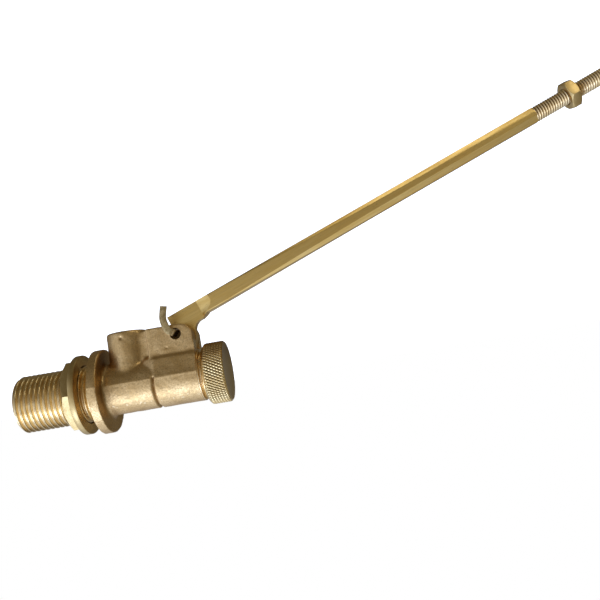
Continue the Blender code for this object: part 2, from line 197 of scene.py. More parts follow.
def knurled(span, radius, depth, inner, chamfers):
    """A diamond knurl about X over span, with plain chamfers at its two ends.

    Two sets of ridges cross, and the second set is cut less deep than the first.
    """
    start, end = span
    columns = KNURL_LINES * 8
    count = round((end - start) / KNURL_STEP * 8)
    x = np.linspace(start, end, count + 1)[:, None] * np.ones((1, columns))
    turn = np.arange(columns)[None, :] * KNURL_LINES / columns

    def ridge(lines):
        return np.abs(2 * (lines % 1.0) - 1)

    way = x / KNURL_STEP
    height = np.minimum(ridge(turn + way), 0.3 + 0.7 * ridge(turn - way))
    low, high = chamfers
    edge = radius - np.maximum(low - (x - start), 0) - np.maximum(high - (end - x), 0)
    crest = radius - depth + depth * np.minimum(1.5 * height, 1.0)
    return grid_mesh(np.stack([x, np.minimum(crest, edge)], axis=-1), inner)


def prism(outline, low, high):
    """An outline of (x, z) points, extruded along Y from low to high."""
    shape = bmesh.new()
    face = shape.faces.new([shape.verts.new((x, low, z)) for x, z in outline])
    geom = bmesh.ops.extrude_face_region(shape, geom=[face])["geom"]
    moved = [item for item in geom if isinstance(item, bmesh.types.BMVert)]
    bmesh.ops.translate(shape, verts=moved, vec=(0, high - low, 0))
    return shape


def lofted(rings):
    """Rings of the same number of points, joined in order and closed at both ends."""
    shape = bmesh.new()
    drawn = [[shape.verts.new(point) for point in ring] for ring in rings]
    for first, second in zip(drawn, drawn[1:]):
        for i in range(len(first)):
            j = (i + 1) % len(first)
            shape.faces.new((first[i], first[j], second[j], second[i]))
    shape.faces.new(drawn[0])
    shape.faces.new(drawn[-1])
    return shape


def placed(shape, matrix):
    """The bmesh, moved by the matrix."""
    bmesh.ops.transform(shape, matrix=matrix, verts=shape.verts)
    return shape


def rod(base, radius, axis, length, columns=64):
    """A cylinder from base along axis."""
    turn = Vector((1, 0, 0)).rotation_difference(Vector(axis)).to_matrix().to_4x4()
    profile = [(0, 0), (0, radius), (length, radius), (length, 0)]
    return placed(turned(profile, columns), Matrix.Translation(base) @ turn)


def arc(centre, radius, start, end, count):
    """Points on an arc from start to end, in degrees."""
    angles = [math.radians(start + (end - start) * i / count) for i in range(count + 1)]
    return [(centre[0] + radius * math.cos(a), centre[1] + radius * math.sin(a)) for a in angles]


def hexagon(flats, x, turn):
    """A hexagon across X, its first corner at turn degrees from +Z."""
    reach = flats / 2 / math.cos(math.radians(30))
    angles = [math.radians(turn + 60 * i) for i in range(6)]
    return [(x, reach * math.sin(angle), reach * math.cos(angle)) for angle in angles]


def combined(base, others, operation):
    """The base object's mesh after a Boolean with each of the others, which are removed."""
    for other in others:
        modifier = base.modifiers.new("shape", "BOOLEAN")
        modifier.object = other
        modifier.operation = operation
        modifier.solver = "EXACT"
    apply_modifiers(base)
    for other in others:
        bpy.data.objects.remove(other, do_unlink=True)
    return base


def apply_modifiers(obj):
    """Turns what the object's modifiers make into its own mesh."""
    bpy.context.view_layer.update()
    graph = bpy.context.evaluated_depsgraph_get()
    mesh = bpy.data.meshes.new_from_object(obj.evaluated_get(graph))
    obj.modifiers.clear()
    obj.data = mesh


def soften(obj, width, segments=2, angle=28):
    """Bevels the object's edges that are sharper than the angle."""
    modifier = obj.modifiers.new("edges", "BEVEL")
    modifier.width = width
    modifier.segments = segments
    modifier.limit_method = "ANGLE"
    modifier.angle_limit = math.radians(angle)
    apply_modifiers(obj)


def settle(obj, body, replaced=(), sharp=32, matrix=Matrix.Identity(4)):
    """Turns a piece into metres, puts it in place and lets it ride on its body."""
    obj.data.transform(Matrix.Scale(MM, 4))
    obj.data.shade_smooth()
    obj.data.set_sharp_from_angle(angle=math.radians(sharp))
    obj.matrix_world = matrix
    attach(obj, body)
    if replaced:
        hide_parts(*replaced)
    return obj


# ---------------------------------------------------------------- materials

def node(tree, kind, inputs=None, **settings):
    """Adds a node. An input is a number, a colour or another node's output."""
    made = tree.nodes.new(kind)
    for key, value in settings.items():
        setattr(made, key, value)
    for key, value in (inputs or {}).items():
        if isinstance(value, bpy.types.NodeSocket):
            tree.links.new(value, made.inputs[key])
        else:
            made.inputs[key].default_value = value
    return made


def math_node(tree, operation, first, second=0.0):
    """The output of a Math node."""
    made = node(tree, "ShaderNodeMath", {0: first, 1: second}, operation=operation)
    return made.outputs[0]


def mixed(tree, factor, first, second, blend="MIX"):
    """The first colour at factor 0 and the blend with the second at 1."""
    made = node(tree, "ShaderNodeMix", {0: factor, 6: first, 7: second},
                data_type="RGBA", blend_type=blend)
    return made.outputs[2]


def spread(tree, value, low, high, start=0.0, end=1.0):
    """The value's range from low to high, eased into start to end."""
    made = node(tree, "ShaderNodeMapRange", {0: value, 1: low, 2: high, 3: start, 4: end},
                interpolation_type="SMOOTHSTEP")
    return made.outputs[0]


def noise_of(tree, vector, size, detail=3.0, roughness=0.6):
    """Noise whose features are about size millimetres across."""
    made = node(tree, "ShaderNodeTexNoise", {
        "Vector": vector, "Scale": 1 / (size * MM), "Detail": detail, "Roughness": roughness})
    return made.outputs[0]


def scaled(tree, vector, factors):
    """The vector with each part multiplied by its factor."""
    made = node(tree, "ShaderNodeVectorMath", {0: vector, 1: factors}, operation="MULTIPLY")
    return made.outputs[0]


def axes_of(tree, vector):
    """The vector's X, Y and Z outputs."""
    return node(tree, "ShaderNodeSeparateXYZ", {0: vector}).outputs


def round_vector(tree, vector):
    """(x, distance from the X axis), which a lathe's tool marks follow."""
    parts = axes_of(tree, vector)
    across = node(tree, "ShaderNodeCombineXYZ", {"Y": parts["Y"], "Z": parts["Z"]}).outputs[0]
    radius = node(tree, "ShaderNodeVectorMath", {0: across}, operation="LENGTH").outputs["Value"]
    return node(tree, "ShaderNodeCombineXYZ", {"X": parts["X"], "Y": radius}).outputs[0]


def bumped(tree, height, depth, normal=None):
    """A bump whose full height is depth millimetres."""
    inputs = {"Height": height, "Distance": depth * MM, "Strength": 1.0}
    if normal is not None:
        inputs["Normal"] = normal
    return node(tree, "ShaderNodeBump", inputs).outputs[0]


def new_material(name, metallic=1.0):
    """A material, its tree, its shader and its object coordinates."""
    material = bpy.data.materials.new(name)
    material.use_nodes = True
    tree = material.node_tree
    shader = tree.nodes["Principled BSDF"]
    shader.inputs["Metallic"].default_value = metallic
    return material, tree, shader, node(tree, "ShaderNodeTexCoord").outputs["Object"]


def connect(tree, shader, colour, roughness, normal):
    """Links the three to the shader's sockets."""
    for name, output in (("Base Color", colour), ("Roughness", roughness), ("Normal", normal)):
        tree.links.new(output, shader.inputs[name])


def cast_brass():
    """Sand-cast brass: grainy, with painted shade in its hollows and beside the flange, and worn
    edges with painted highlight.
    """
    material, tree, shader, place = new_material("cast_brass")
    patches = noise_of(tree, place, 5.0)
    grains = noise_of(tree, place, 0.55, 4.0, 0.7)
    curve = node(tree, "ShaderNodeNewGeometry").outputs["Pointiness"]
    colour = mixed(tree, spread(tree, patches, 0.3, 0.7),
                   (0.72, 0.47, 0.19, 1), (0.86, 0.60, 0.28, 1))
    colour = mixed(tree, spread(tree, grains, 0.30, 0.60), (0.56, 0.37, 0.16, 1), colour)
    # Painted shade: darker where the surface is hollow
    colour = mixed(tree, spread(tree, curve, 0.42, 0.5), (0.30, 0.19, 0.08, 1), colour)
    # Brighter on sharp edges: part wear, part painted highlight
    colour = mixed(tree, spread(tree, curve, 0.57, 0.68), colour, (0.93, 0.72, 0.40, 1))
    along, _, height = axes_of(tree, place)
    out = axes_of(tree, round_vector(tree, place))["Y"]
    # Painted shade on the flange's face and the barrel's root beside it, darker towards the bottom
    flange_shade = math_node(tree, "MULTIPLY", spread(tree, along, 3.5 * MM, 5.5 * MM, 0.5, 0.0),
                      spread(tree, height, 1 * MM, 9 * MM, 1.0, 0.0))
    flange_shade = math_node(tree, "MULTIPLY", flange_shade, spread(tree, out, 14.4 * MM, 15.2 * MM, 1.0, 0.0))
    colour = mixed(tree, flange_shade, colour, (0.20, 0.12, 0.04, 1))
    rough = spread(tree, grains, 0.3, 0.7, 0.48, 0.36)
    normal = bumped(tree, noise_of(tree, place, 1.3, 3.0, 0.6), 0.06)
    normal = bumped(tree, noise_of(tree, place, 0.3, 3.0, 0.75), 0.035, normal)
    connect(tree, shader, colour, rough, normal)
    return material


def turned_brass(name, pale, deep, roughness, roots=None):
    """Lathe-turned brass: fine tool rings and faint stains, with painted shade in the thread's
    roots, fading out between the roots' two radii.
    """
    material, tree, shader, place = new_material(name)
    rings = round_vector(tree, place)
    fine = noise_of(tree, rings, 0.09, 2.0, 0.6)
    broad = noise_of(tree, rings, 0.8, 3.0, 0.6)
    stains = noise_of(tree, place, 4.0, 4.0, 0.65)
    colour = mixed(tree, spread(tree, stains, 0.35, 0.68), pale, deep)
    colour = mixed(tree, spread(tree, broad, 0.5, 0.75, 0.0, 0.45), colour, deep)
    # Painted shade down in the thread's roots, gone above the second radius
    if roots:
        radius = axes_of(tree, rings)["Y"]
        unshaded = spread(tree, radius, roots[0] * MM, roots[1] * MM)
        colour = mixed(tree, unshaded, (0.22, 0.12, 0.04, 1), colour)
    ringed = spread(tree, fine, 0.3, 0.7, roughness - 0.06, roughness + 0.06)
    rough = math_node(tree, "ADD", ringed, spread(tree, stains, 0.4, 0.7, 0.0, 0.08))
    normal = bumped(tree, fine, 0.012)
    normal = bumped(tree, noise_of(tree, place, 1.6), 0.02, normal)
    connect(tree, shader, colour, rough, normal)
    return material


def knurled_brass():
    """The cap: bright on the knurl's points, with painted shade down in its grooves and on its
    underside.
    """
    material, tree, shader, place = new_material("knurled_brass")
    stains = noise_of(tree, place, 3.5, 4.0, 0.65)
    curve = node(tree, "ShaderNodeNewGeometry").outputs["Pointiness"]
    colour = mixed(tree, spread(tree, stains, 0.35, 0.7),
                   (1.0, 0.76, 0.36, 1), (0.90, 0.63, 0.26, 1))
    # Painted shade down in the knurl's grooves
    colour = mixed(tree, spread(tree, curve, 0.43, 0.53), (0.13, 0.08, 0.03, 1), colour)
    # Painted shade on the cap's underside, darker towards the bottom
    height = axes_of(tree, place)["Z"]
    colour = mixed(tree, spread(tree, height, -9 * MM, -1 * MM, 0.75, 0.0), colour,
                   (0.42, 0.28, 0.12, 1), "MULTIPLY")
    rough = spread(tree, curve, 0.42, 0.54, 0.45, 0.2)
    normal = bumped(tree, noise_of(tree, place, 1.2, 3.0), 0.02)
    connect(tree, shader, colour, rough, normal)
    return material


def drawn_brass():
    """Drawn bar: satin, streaked along its length, with rubbed patches."""
    material, tree, shader, place = new_material("bar_brass")
    streaks = noise_of(tree, scaled(tree, place, (0.03, 1, 1)), 0.35, 3.0, 0.65)
    smears = noise_of(tree, scaled(tree, place, (0.16, 1, 1)), 2.6, 4.0, 0.6)
    specks = noise_of(tree, scaled(tree, place, (0.4, 1, 1)), 0.4, 2.0)
    colour = mixed(tree, spread(tree, smears, 0.34, 0.66),
                   (0.86, 0.57, 0.17, 1), (0.97, 0.69, 0.25, 1))
    colour = mixed(tree, spread(tree, streaks, 0.52, 0.72, 0.0, 0.5),
                   colour, (0.62, 0.41, 0.14, 1))
    colour = mixed(tree, spread(tree, specks, 0.68, 0.76, 0.0, 0.6), colour, (0.34, 0.22, 0.09, 1))
    rough = spread(tree, smears, 0.3, 0.7, 0.42, 0.28)
    normal = bumped(tree, streaks, 0.02)
    normal = bumped(tree, noise_of(tree, scaled(tree, place, (0.3, 1, 1)), 1.4), 0.03, normal)
    connect(tree, shader, colour, rough, normal)
    return material


def wire_brass():
    """The split pin's dull wire, with tool bruises, and painted shade where it is in its hole."""
    material, tree, shader, place = new_material("pin_brass")
    tarnish = noise_of(tree, place, 1.8, 4.0, 0.65)
    scuffs = noise_of(tree, scaled(tree, place, (1, 0.3, 0.3)), 0.3, 3.0)
    out = math_node(tree, "ABSOLUTE", axes_of(tree, place)["Y"])
    colour = mixed(tree, spread(tree, tarnish, 0.35, 0.65),
                   (0.38, 0.27, 0.11, 1), (0.68, 0.51, 0.25, 1))
    colour = mixed(tree, spread(tree, scuffs, 0.6, 0.72, 0.0, 0.6), colour, (0.90, 0.71, 0.38, 1))
    # Painted shade on the wire inside the pivot hole
    colour = mixed(tree, spread(tree, out, 6.2 * MM, 7.6 * MM), (0.12, 0.07, 0.025, 1), colour)
    rough = spread(tree, tarnish, 0.3, 0.7, 0.5, 0.34)
    connect(tree, shader, colour, rough, bumped(tree, scuffs, 0.04))
    return material


def moulded(name, pale, deep, roughness, grain):
    """A moulded plastic or rubber with scuffs, and a skin whose grain is in millimetres."""
    material, tree, shader, place = new_material(name, 0.0)
    marks = noise_of(tree, place, 1.5, 4.0)
    skin = noise_of(tree, place, grain, 3.0)
    colour = mixed(tree, spread(tree, marks, 0.35, 0.7), pale, deep)
    rough = spread(tree, skin, 0.3, 0.7, roughness - 0.08, roughness + 0.1)
    connect(tree, shader, colour, rough, bumped(tree, skin, 0.03))
    return material


CAST = cast_brass()
TURNED = turned_brass("turned_brass", (0.90, 0.70, 0.38, 1), (0.78, 0.56, 0.26, 1), 0.26)
# The arm thread's roots get painted shade between these two radii
CUT_BRASS = turned_brass("cut_brass", (0.97, 0.76, 0.42, 1), (0.84, 0.61, 0.28, 1), 0.27,
                         (ARM_THREAD_R - ARM_DEPTH, ARM_THREAD_R - 0.4 * ARM_DEPTH))
NUT_BRASS = turned_brass("nut_brass", (0.70, 0.51, 0.22, 1), (0.59, 0.41, 0.16, 1), 0.38)
KNURLED = knurled_brass()
DRAWN = drawn_brass()
WIRE = wire_brass()
NYLON = moulded("nylon", (0.80, 0.78, 0.71, 1), (0.62, 0.58, 0.48, 1), 0.4, 0.25)
RUBBER = moulded("rubber", (0.035, 0.034, 0.032, 1), (0.07, 0.066, 0.06, 1), 0.65, 0.2)


# ---------------------------------------------------------------- the casting

def casting_blank():
    """The casting before its grain: simple solids, made one by a voxel remesh."""
    over = BARREL_END + 1.2
    profile = [(-0.9, 0), (-0.9, FLANGE_R), (FLANGE_THICK, FLANGE_R),
               (FLANGE_THICK, BARREL_R + ROOT_R)]
    root = (BARREL_R + ROOT_R, FLANGE_THICK + ROOT_R)
    profile += [(x, r) for r, x in arc(root, ROOT_R, -90, -180, 4)]
    profile += [(over, BARREL_R), (over, 0)]
    corner = (BARREL_END - EAR_CORNER_R, EAR_END + EAR_CORNER_R)
    ears = [(EAR_START, -2), (EAR_START, EAR_END)] + arc(corner, EAR_CORNER_R, -90, 0, 12)
    ears += [(BARREL_END, -12.5), (over, -11.6), (over, -2)]
    web = [(BOSS_X, -2), (BOSS_X, EAR_END), (SLOT_X - 1, EAR_END), (SLOT_X - 1, -2)]
    solids = [
        turned(profile, 128),
        rod((BOSS_X, 0, BOSS_END), BOSS_R, (0, 0, 1), -BOSS_END, 96),
        prism(ears, -EAR_HALF, EAR_HALF),
        prism(web, -WEB_HALF, WEB_HALF),
    ]
    solids += [ear_shoulder(side, over) for side in (-1, 1)]
    joined = bmesh.new()
    for shape in solids:
        mesh = bpy.data.meshes.new("part")
        bmesh.ops.recalc_face_normals(shape, faces=shape.faces)
        shape.to_mesh(mesh)
        shape.free()
        joined.from_mesh(mesh)
        bpy.data.meshes.remove(mesh)
    mesh = bpy.data.meshes.new("valve_casting")
    joined.to_mesh(mesh)
    joined.free()
    blank = bpy.data.objects.new("valve_casting", mesh)
    bpy.context.scene.collection.objects.link(blank)
    modifier = blank.modifiers.new("one skin", "REMESH")
    modifier.mode = "VOXEL"
    modifier.voxel_size = VOXEL
    apply_modifiers(blank)
    return blank


def ear_shoulder(side, end_x):
    """The drafted slab that carries the ear's face down to the parting line."""
    rings = []
    for x, proud in ((EAR_START - 2.6, -1.8), (EAR_START + 1.6, 0.0), (end_x, 0.0)):
        outline = [(5.0, -9.3), (7.0 + proud, -9.3), (7.8 + proud, -8.2),
                   (9.4 + proud, PARTING_Z), (5.0, PARTING_Z)]
        rings.append([(x, side * y, z) for y, z in outline])
    return lofted(rings)


def eased(value, low, high):
    """0 at low and 1 at high, with a smooth step between."""
    t = np.clip((value - low) / (high - low), 0, 1)
    return t * t * (3 - 2 * t)


def relaxed(points, edges, strength, rounds):
    """Points drawn towards their neighbours, which rounds the edges of a dense mesh."""
    first, second = edges[:, 0], edges[:, 1]
    degree = np.bincount(edges.ravel(), minlength=len(points))[:, None]
    for _ in range(rounds):
        total = np.zeros_like(points)
        np.add.at(total, first, points[second])
        np.add.at(total, second, points[first])
        points = points + 0.5 * strength[:, None] * (total / degree - points)
    return points


def casting_marks(points, normals):
    """How far each point stands proud or lies low, in millimetres."""
    x, y, z = points.T
    side = eased(np.abs(normals[:, 0]), 0.8, 0.5)
    grain = np.array([
        0.08 * noise.fractal(Vector(p) * 0.22, 1.0, 2.0, 3)
        + 0.03 * noise.fractal(Vector(p) * 1.5, 0.8, 2.2, 3) for p in points])
    # The ridge where the mould's halves met, a thin seam down from it, and blow holes
    barrel = eased(z, -5.5, -4.0) * eased(-z, -7.0, -4.0)
    height = grain + PARTING_HEIGHT * side * barrel * np.exp(
        -np.abs(z - PARTING_Z) / PARTING_WIDTH)
    wobble = SEAM_X + 0.18 * np.sin(0.7 * z + y)
    height -= SEAM_DEPTH * side * eased(z, PARTING_Z - 0.9, PARTING_Z - 0.1) * np.exp(
        -((x - wobble) / SEAM_WIDTH) ** 2)
    for centre, radius, depth in PITS:
        near = ((points - centre) ** 2).sum(axis=1)
        height -= depth * np.exp(-near / radius ** 2)
    return height


def casting_cutters():
    """Everything a drill, a mill or the lathe takes out of the casting."""
    bores = turned([
        (-3, 0), (-3, SEAT_HOLE_R), (CHAMBER_X, SEAT_HOLE_R), (CHAMBER_X, PISTON_BORE_R),
        (BARREL_END + 3, PISTON_BORE_R), (BARREL_END + 3, 0)], 96)
    sink = 0.5
    outlet = turned([
        (-1, 0), (-1, OUTLET_R + sink), (0, OUTLET_R + sink), (sink, OUTLET_R),
        (-BOSS_END, OUTLET_R), (-BOSS_END, 0)], 72)
    upright = Vector((1, 0, 0)).rotation_difference(Vector((0, 0, 1))).to_matrix().to_4x4()
    placed(outlet, Matrix.Translation((BOSS_X, 0, BOSS_END)) @ upright)
    deep = BARREL_R + 0.3
    ear_slot = [(SLOT_X, -deep), (SLOT_X, EAR_END - 2), (45, EAR_END - 2), (45, -deep)]
    low, high = LEG_SLOT_X
    leg_slot = [(low, -2), (low, -deep - 1), (high, -deep - 1), (high, -2)]
    wide = 30
    tank_face = [(-6, -wide), (0, -wide), (0, wide), (-6, wide)]
    end_face = [(BARREL_END, -wide), (46, -wide), (46, wide), (BARREL_END, wide)]
    hole = rod(PIVOT + Vector((0, -EAR_HALF - 2, 0)), PIVOT_HOLE_R, (0, 1, 0), 2 * EAR_HALF + 4)
    shapes = [bores, outlet, prism(ear_slot, -SLOT_HALF, SLOT_HALF),
              prism(leg_slot, -SLOT_HALF, SLOT_HALF), hole,
              prism(tank_face, -wide, wide), prism(end_face, -wide, wide)]
    cutters = []
    for i, shape in enumerate(shapes):
        machined = shape is not hole
        cutter = new_object(f"cutter_{i}", shape, [CAST, TURNED])
        cutter.data.polygons.foreach_set(
            "material_index", [machined] * len(cutter.data.polygons))
        cutters.append(cutter)
    return cutters


def values_of(items, name, width, kind=float):
    """One attribute of a mesh's vertices or edges, as an array of rows."""
    values = np.empty(len(items) * width, kind)
    items.foreach_get(name, values)
    return values.reshape(-1, width)


def make_casting():
    """The sand casting: flange, barrel, outlet boss and ears, with what is cut from it."""
    casting = casting_blank()
    mesh = casting.data
    points = values_of(mesh.vertices, "co", 3)
    edges = values_of(mesh.edges, "vertices", 2, np.int64)
    radius = np.hypot(points[:, 1], points[:, 2])
    flange = eased(-points[:, 0], -FLANGE_THICK - 2, -FLANGE_THICK)
    rim = eased(radius, FLANGE_R - 2.2, FLANGE_R - 1.0) * flange
    # Round every edge, the flange's rim least, and then fill in round the boss's root
    points = relaxed(points, edges, 1 - 0.75 * rim, 6)
    from_boss = np.hypot(points[:, 0] - BOSS_X, points[:, 1])
    roots = eased(-from_boss, -BOSS_R - 3.5, -BOSS_R - 0.5) * eased(-points[:, 0], -21.5, -19.5)
    points = relaxed(points, edges, roots * (1 - rim), 26)
    mesh.vertices.foreach_set("co", points.ravel())
    mesh.update()
    normals = values_of(mesh.vertices, "normal", 3)
    points = points + normals * casting_marks(points, normals)[:, None]
    mesh.vertices.foreach_set("co", points.ravel())
    mesh.materials.append(CAST)
    mesh.materials.append(TURNED)
    combined(casting, casting_cutters(), "DIFFERENCE")
    return settle(casting, "valve", ["valve_body"], sharp=40)


def make_inlet_shank():
    """The threaded inlet tube, cut from the same casting as the flange."""
    inner = [(0.02, SEAT_HOLE_R), (SHOULDER_X, SEAT_HOLE_R), (SHOULDER_X, INLET_BORE_R),
             (SHANK_X + 0.5, INLET_BORE_R), (SHANK_X, INLET_BORE_R + 0.5)]
    shape = threaded((SHANK_X, 0.02), SHANK_R, PIPE_DEPTH, PIPE_PITCH, inner,
                     1.0, 144, 18, PIPE_FLAT)
    return settle(new_object("inlet_shank", shape, [TURNED]), "valve")


def make_cap_neck():
    """The turned end of the barrel: a bright land, a groove and the thread for the cap."""
    land = BARREL_END + 0.5
    shape = turned([
        (BARREL_END, PISTON_BORE_R), (BARREL_END, BARREL_R - 0.1), (BARREL_END + 0.1, BARREL_R),
        (land - 0.1, BARREL_R), (land, BARREL_R - 0.1), (land, NECK_GROOVE_R),
        (land + 1.2, NECK_GROOVE_R), (land + 1.2, PISTON_BORE_R)], 128)
    settle(new_object("neck_land", shape, [TURNED]), "valve")
    inner = [(NECK_END, PISTON_BORE_R), (land, PISTON_BORE_R)]
    shape = threaded((land, NECK_END), NECK_R, NECK_DEPTH, NECK_PITCH, inner, 0.7, 120, 10)
    return settle(new_object("neck_thread", shape, [TURNED]), "valve")


# ---------------------------------------------------------------- nuts and cap

def tapped(nut, span, crest, depth, pitch):
    """The nut after a tap has cut a clearance thread right through it."""
    start, end = span
    over = 1.5 * pitch
    inner = [(end + over, 0), (start - over, 0)]
    tap = threaded((start - over, end + over), crest, depth, pitch, inner, 0.0, 96, 10)
    tool = new_object("tap", tap, [])
    mouths = turned([
        (start - 1, 0), (start - 1, crest + 1), (start, crest), (start + depth, crest - depth),
        (end - depth, crest - depth), (end, crest), (end + 1, crest + 1), (end + 1, 0)])
    return combined(nut, [tool, new_object("mouths", mouths, [])], "DIFFERENCE")


def make_backnut():
    """The flanged hexagon nut that clamps the tank wall."""
    start, end = BACKNUT_LOW.x, BACKNUT_HIGH.x
    corner_r = BACKNUT_FLATS / math.sqrt(3)
    hexagonal = new_object("flanged_backnut", lofted(
        [hexagon(BACKNUT_FLATS, x, 30) for x in (start, BACKNUT_SHOULDER + 0.3)]), [NUT_BRASS])
    chamfer = new_object("chamfer", turned([
        (start - 0.2, 0), (start - 0.2, BACKNUT_FLATS / 2 - 0.3), (start, BACKNUT_FLATS / 2 - 0.1),
        (start + 1.7, corner_r + 0.2), (end + 1, corner_r + 0.2), (end + 1, 0)]), [])
    combined(hexagonal, [chamfer], "INTERSECT")
    soften(hexagonal, 0.16)
    flange = new_object("flange", turned([
        (BACKNUT_SHOULDER, 0), (BACKNUT_SHOULDER, BACKNUT_R - 0.35),
        (BACKNUT_SHOULDER + 0.12, BACKNUT_R - 0.12), (BACKNUT_SHOULDER + 0.35, BACKNUT_R),
        (end - 0.25, BACKNUT_R), (end - 0.07, BACKNUT_R - 0.07), (end, BACKNUT_R - 0.25),
        (end, 0)], 144), [NUT_BRASS])
    nut = combined(hexagonal, [flange], "UNION")
    tapped(nut, (start, end), SHANK_R + 0.5, 0.35, PIPE_PITCH)
    return settle(nut, "backnut", ["backnut"])


def arm_matrix():
    """The bar's frame: its origin is on the bar's centre line, below the pivot."""
    turn = Matrix.Rotation(ARM_DROOP, 4, "Y")
    return Matrix.Translation(PIVOT * MM) @ turn @ Matrix.Translation((0, 0, -ARM_DROP * MM))


def make_locknut():
    """The hexagon nut that locks the float on the arm's thread."""
    start, end = LOCKNUT_X
    corner_r = LOCKNUT_FLATS / math.sqrt(3)
    nut = new_object("locking_nut", lofted(
        [hexagon(LOCKNUT_FLATS, x, LOCKNUT_TURN) for x in LOCKNUT_X]), [NUT_BRASS])
    chamfer = new_object("chamfer", turned([
        (start - 0.3, 0), (start - 0.3, LOCKNUT_FLATS / 2 - 0.5), (start + 0.9, corner_r + 0.1),
        (end - 0.65, corner_r + 0.1), (end + 0.3, LOCKNUT_FLATS / 2 - 0.4), (end + 0.3, 0)]), [])
    combined(nut, [chamfer], "INTERSECT")
    soften(nut, 0.12)
    tapped(nut, LOCKNUT_X, ARM_THREAD_R + 0.35, 0.25, ARM_PITCH)
    return settle(nut, "float_locknut", ["float_locknut"], matrix=arm_matrix())


def make_cap():
    """The knurled cap that shuts the piston's chamber."""
    start, end = CAP_LOW.x, CAP_HIGH.x
    face = end - 0.06
    inner = [(end, CAP_R - 0.9), (face, CAP_R - 1.3), (face, 0), (CAP_FLOOR, 0),
             (CAP_FLOOR, CAP_INNER), (start + 0.4, CAP_INNER), (start, CAP_INNER + 0.4)]
    shape = knurled((start, end), CAP_R, KNURL_DEPTH, inner, (0.8, 0.6))
    return settle(new_object("knurled_cap", shape, [KNURLED]), "end_cap",
                  ["end_cap"])


# ---------------------------------------------------------------- arm and pin

def cheek_outline():
    """The flat end of the arm with its leg, in the bar's frame."""
    low = -2.95
    neck = (9.9, 3.1 + ARM_DROP)
    outline = [(-0.8, low), (CHEEK_END + 2, low), (CHEEK_END + 2, 2.9)]
    outline += arc(neck, 3.9, -76, -180, 18)
    outline += [(2.9, 7.6 + ARM_DROP), (LEG_TIP.x + 2.5, 13.5 + ARM_DROP)]
    outline += arc(LEG_TIP, LEG_TIP_R, 0, 180, 16)
    outline += [(LEG_TIP.x - 2.4, 13.5 + ARM_DROP), (-3.7, 7.6 + ARM_DROP)]
    outline += arc((0, ARM_DROP), 4.2, 165, 240, 10)
    return outline + [(-0.8, -4.4 + ARM_DROP)]


def side_mill(side):
    """What a mill takes off one side to leave the cheek, running out up a slope."""
    half = BAR_FLATS / 2
    rings = []
    for z, run in CHEEK_SLOPE:
        end = CHEEK_END + run
        outline = [(-12, CHEEK_HALF), (CHEEK_END, CHEEK_HALF), (end, half), (end + 1, half + 1),
                   (-12, half + 1)]
        rings.append([(x, side * y, z) for x, y in outline])
    return lofted(rings)


def bar_section(x, cut, corner=0.4):
    """The bar across X: a square with its corners cut off, and all eight edges rounded."""
    half = BAR_FLATS / 2
    ring = []
    for side in range(4):
        for middle, y, z in ((22.5, half - cut, half), (67.5, half, half - cut)):
            across, along = math.radians(side * 90), math.radians(middle + side * 90)
            inset = corner / math.cos(math.radians(22.5))
            point = Vector((y * math.cos(across) + z * math.sin(across),
                            z * math.cos(across) - y * math.sin(across)))
            point -= inset * Vector((math.sin(along), math.cos(along)))
            # four points round this corner of the octagon
            for step in (-22.5, -7.5, 7.5, 22.5):
                angle = along + math.radians(step)
                ring.append(point + corner * Vector((math.sin(angle), math.cos(angle))))
    turn = Matrix.Rotation(math.radians(BAR_TURN), 2)
    return [(x, *(turn @ point)) for point in ring]


def make_arm():
    """The float arm: a drawn eight-sided bar with a milled cheek, a leg and a threaded end."""
    bar = new_object("float_arm_bar", lofted([bar_section(*cut) for cut in BAR_CUTS]), [DRAWN])
    run_out = new_object("run_out", turned([
        (0, 0), (0, 4), (THREAD_START - 1.2, 4), (THREAD_START - 1.2, 3.1),
        (THREAD_START - 0.4, 2.9), (THREAD_START + 0.1, 2.5), (THREAD_START + 0.1, 0)]), [])
    combined(bar, [run_out], "INTERSECT")
    stock = 2.75                            # half the cheek's width before the mills
    cheek = new_object("cheek", prism(cheek_outline(), -stock, stock), [DRAWN])
    combined(bar, [cheek], "UNION")
    mills = [new_object(f"mill_{side}", side_mill(side), []) for side in (-1, 1)]
    hole = new_object("hole", rod((0, -5, ARM_DROP), PIVOT_HOLE_R, (0, 1, 0), 10), [])
    combined(bar, mills + [hole], "DIFFERENCE")
    soften(bar, 0.15)
    settle(bar, "float_arm", ["lever_arm"], 7, arm_matrix())
    inner = [(ARM_END, 0), (THREAD_START - 1, 0)]
    thread = threaded((THREAD_START - 1, ARM_END), ARM_THREAD_R, ARM_DEPTH, ARM_PITCH, inner,
                      0.8, 72, 12, 0.0)
    return settle(new_object("float_arm_thread", thread, [CUT_BRASS]), "float_arm",
                  matrix=arm_matrix())


def smooth_path(points, count):
    """Points on a Catmull-Rom curve through the given ones, count for each stretch."""
    padded = [2 * points[0] - points[1]] + points + [2 * points[-1] - points[-2]]
    path = []
    for a, b, c, d in zip(padded, padded[1:], padded[2:], padded[3:]):
        for i in range(count):
            t = i / count
            path.append(0.5 * (2 * b + (c - a) * t + (2 * a - 5 * b + 4 * c - d) * t ** 2
                               + (3 * b - a - 3 * c + d) * t ** 3))
    return path + [points[-1]]


def half_round():
    """The wire's section as (across, thick): flat inside, round outside, edges eased."""
    half, top, ease = PIN_WIDTH / 2, PIN_THICK / 2, 0.12
    section = [(half - ease, top), (half - 0.03, top - 0.03), (half, top - ease)]
    section += [(half * math.cos(a), top - ease - (PIN_THICK - ease) * math.sin(a))
                for a in (math.radians(15 * i) for i in range(1, 12))]
    return section + [(-half, top - ease), (-half + 0.03, top - 0.03), (-half + ease, top)]


